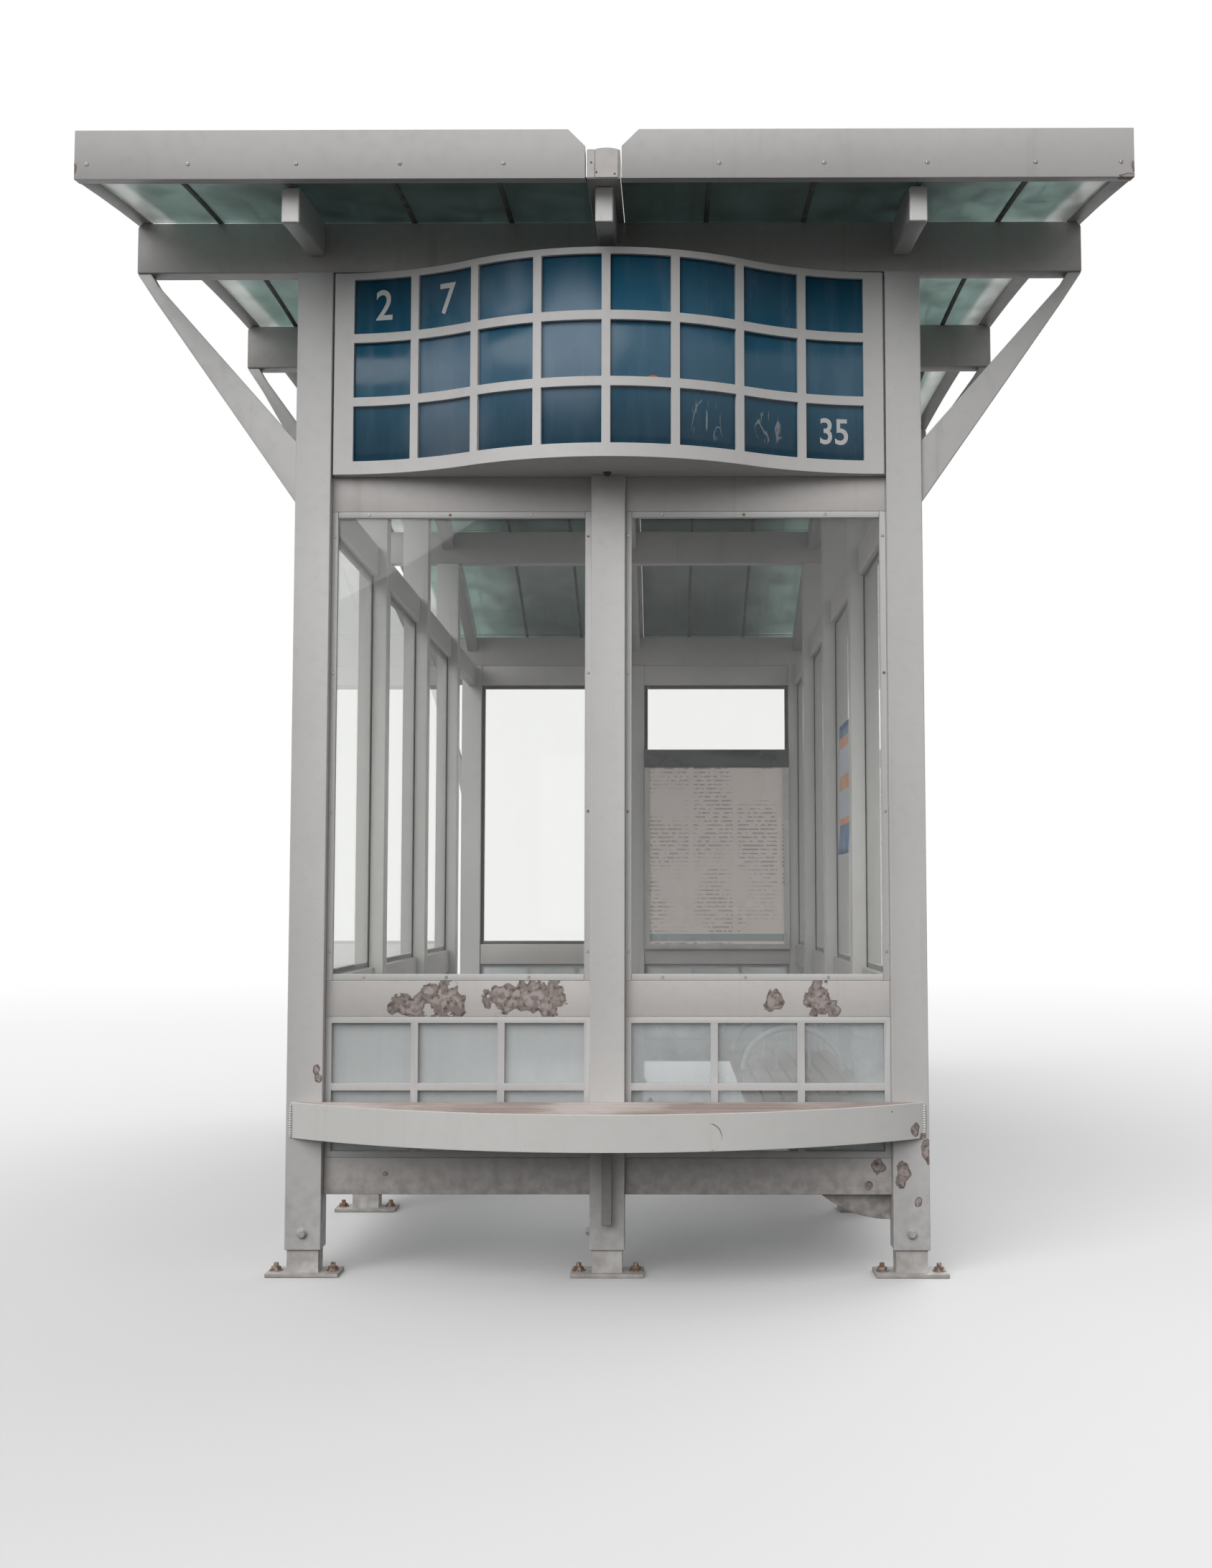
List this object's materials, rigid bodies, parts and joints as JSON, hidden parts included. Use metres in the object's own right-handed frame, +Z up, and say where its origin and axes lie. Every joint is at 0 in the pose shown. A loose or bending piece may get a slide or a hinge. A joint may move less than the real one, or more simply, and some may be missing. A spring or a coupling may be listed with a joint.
{
  "type": "bus shelter",
  "caption": "Open-frame bus shelter of steel posts and glass walls with an arched glass roof that falls to the back, braced beams, a bowed sign and bowed slatted benches.",
  "frame": {"origin": "on the ground, at the centre of the overall box", "axes": "+X to the right of the pictured end, +Y away from the pictured end along the shelter, +Z up"},
  "size_m": [2.822, 4.816, 3.1871],
  "materials": {
    "bench_wood": "oiled, weathered",
    "blue_panel": "gloss",
    "board_panel": "matt",
    "clear_glass": "clear",
    "dark_strip": "matt",
    "foot_paint": "satin, weathered",
    "frosted_glass": "frosted",
    "grey_paint": "satin, worn",
    "roof_glass": "translucent green"
  },
  "bodies": {
    "root": {"arm_hoops": "grey_paint", "back_bench_frame": "grey_paint", "back_bench_slats": "bench_wood", "back_fascia": "grey_paint", "back_glazing_frames": "grey_paint", "back_lower_glass": "frosted_glass", "back_rails": "grey_paint", "back_upper_glass": "clear_glass", "braces": "grey_paint", "centre_feet": "foot_paint", "centre_posts": "grey_paint", "cross_beam_1": "grey_paint", "cross_beam_2": "grey_paint", "cross_beam_3": "grey_paint", "cross_beam_4": "grey_paint", "cross_beam_5": "grey_paint", "front_bench_frame": "grey_paint", "front_bench_slats": "bench_wood", "front_fascia": "grey_paint", "front_glazing_frames": "grey_paint", "front_lower_glass": "frosted_glass", "front_rails": "grey_paint", "front_sign": "grey_paint", "front_sign_cells": "blue_panel", "front_upper_glass": "clear_glass", "gutter": "grey_paint", "inner_bench_frame": "grey_paint", "inner_bench_slats": "bench_wood", "left_fascia": "grey_paint", "left_feet": "foot_paint", "left_glazing_frames": "grey_paint", "left_lower_glass": "frosted_glass", "left_posts": "grey_paint", "left_rails": "grey_paint", "left_upper_glass": "clear_glass", "notice_board": "board_panel", "purlins": "grey_paint", "right_fascia": "grey_paint", "right_feet": "foot_paint", "right_glazing_frames": "grey_paint", "right_lower_glass": "frosted_glass", "right_posts": "grey_paint", "right_rails": "grey_paint", "right_upper_glass": "clear_glass", "roof_bars": "dark_strip", "roof_glass_left": "roof_glass", "roof_glass_right": "roof_glass"}
  },
  "joints": []
}
